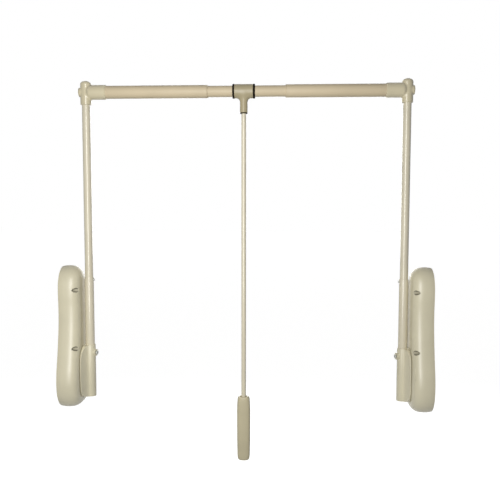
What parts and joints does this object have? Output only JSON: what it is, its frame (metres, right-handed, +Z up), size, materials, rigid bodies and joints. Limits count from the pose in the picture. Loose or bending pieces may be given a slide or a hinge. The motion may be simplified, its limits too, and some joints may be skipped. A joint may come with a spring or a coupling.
{
  "type": "pull down closet rod",
  "caption": "Telescopic hanging rod between two spring-assisted arms that swing down from wall housings, with a pull rod and grip.",
  "frame": {"origin": "on the arms' pivot axis, midway between the two wall faces", "axes": "+X from the left wall to the right wall, +Y into the wardrobe, away from the user, +Z up along the raised arms"},
  "size_m": [0.94, 0.1384, 0.974],
  "materials": {
    "moulding": "moulded ABS, warm ivory, satin with a fine grain",
    "fitting_moulding": "moulded nylon, beige, satin with a fine grain",
    "tube_paint": "champagne powder coat on steel tube, satin",
    "arm_paint": "ivory enamel on steel tube, glossier than the bar",
    "zinc_steel": "zinc plated, satin",
    "bearing_plastic": "natural acetal, smooth",
    "black_rubber": "black rubber, matt",
    "black_steel": "black enamel, satin"
  },
  "bodies": {
    "left_housing": {"left_cover": "moulding", "left_base_plate": "zinc_steel", "left_bridge_plate": "zinc_steel", "left_lower_bush": "bearing_plastic", "left_upper_bush": "bearing_plastic", "left_cover_screw_low": "zinc_steel", "left_cover_screw_high": "zinc_steel", "left_strut_cylinder": "black_steel", "left_strut_pin": "zinc_steel", "left_strut_saddle": "zinc_steel"},
    "right_housing": {"right_cover": "moulding", "right_base_plate": "zinc_steel", "right_bridge_plate": "zinc_steel", "right_lower_bush": "bearing_plastic", "right_upper_bush": "bearing_plastic", "right_cover_screw_low": "zinc_steel", "right_cover_screw_high": "zinc_steel", "right_strut_cylinder": "black_steel", "right_strut_pin": "zinc_steel", "right_strut_saddle": "zinc_steel"},
    "left_arm": {"left_axle": "zinc_steel", "left_crank": "zinc_steel", "left_crank_pin": "zinc_steel", "left_arm_shoe": "moulding", "left_axle_screw": "zinc_steel", "left_clamp_screw": "zinc_steel", "left_arm_lower_tube": "arm_paint", "left_arm_upper_tube": "arm_paint", "left_arm_pin": "zinc_steel", "left_corner_fitting": "moulding", "left_corner_screw": "zinc_steel", "left_corner_cap": "moulding", "left_bar_plug": "bearing_plastic", "left_bar_tube": "tube_paint", "left_bar_liner": "tube_paint"},
    "right_arm": {"right_axle": "zinc_steel", "right_crank": "zinc_steel", "right_crank_pin": "zinc_steel", "right_arm_shoe": "moulding", "right_axle_screw": "zinc_steel", "right_clamp_screw": "zinc_steel", "right_arm_lower_tube": "arm_paint", "right_arm_upper_tube": "arm_paint", "right_arm_pin": "zinc_steel", "right_corner_fitting": "moulding", "right_corner_screw": "zinc_steel", "right_corner_cap": "moulding", "right_bar_plug": "bearing_plastic", "right_bar_tube": "tube_paint", "right_bar_liner": "tube_paint"},
    "left_strut_piston": {"left_strut_rod": "zinc_steel"},
    "right_strut_piston": {"right_strut_rod": "zinc_steel"},
    "centre_bar": {"middle_tube": "tube_paint", "left_stop_ring": "black_rubber", "right_stop_ring": "black_rubber"},
    "pull_handle": {"tee": "fitting_moulding", "stem_bush": "black_rubber", "pull_rod": "arm_paint", "rod_screw": "black_steel", "grip": "fitting_moulding"}
  },
  "joints": [
    {"name": "left_swing", "type": "hinge", "parent": "left_housing", "child": "left_arm", "pos_m": [-0.4, 0, 0], "axis": [1, 0, 0], "range_deg": [0, 110], "stiffness_Nm_per_rad": 9, "springref_deg": -34.38},
    {"name": "right_swing", "type": "hinge", "parent": "right_housing", "child": "right_arm", "pos_m": [0.4, 0, 0], "axis": [1, 0, 0], "range_deg": [0, 110]},
    {"name": "width_adjust", "type": "slide", "parent": "left_housing", "child": "right_housing", "axis": [1, 0, 0], "range_m": [-0.11, 0.21]},
    {"name": "centre_slide", "type": "slide", "parent": "left_arm", "child": "centre_bar", "axis": [1, 0, 0], "range_m": [-0.055, 0.105]},
    {"name": "pull_swing", "type": "hinge", "parent": "centre_bar", "child": "pull_handle", "pos_m": [0, 0, 0.734], "axis": [1, 0, 0], "continuous": true},
    {"name": "left_strut_slide", "type": "slide", "parent": "left_housing", "child": "left_strut_piston", "axis": [0, 0, 1], "range_m": [0, 0.0495]},
    {"name": "right_strut_slide", "type": "slide", "parent": "right_housing", "child": "right_strut_piston", "axis": [0, 0, 1], "range_m": [0, 0.0495]}
  ],
  "couplings": [
    {"joint": "right_swing", "follows": "left_swing", "ratio": 1},
    {"joint": "left_strut_slide", "follows": "left_swing", "m_per_rad": 0.0256},
    {"joint": "right_strut_slide", "follows": "left_swing", "m_per_rad": 0.0256},
    {"joint": "centre_slide", "follows": "width_adjust", "ratio": 0.5}
  ]
}
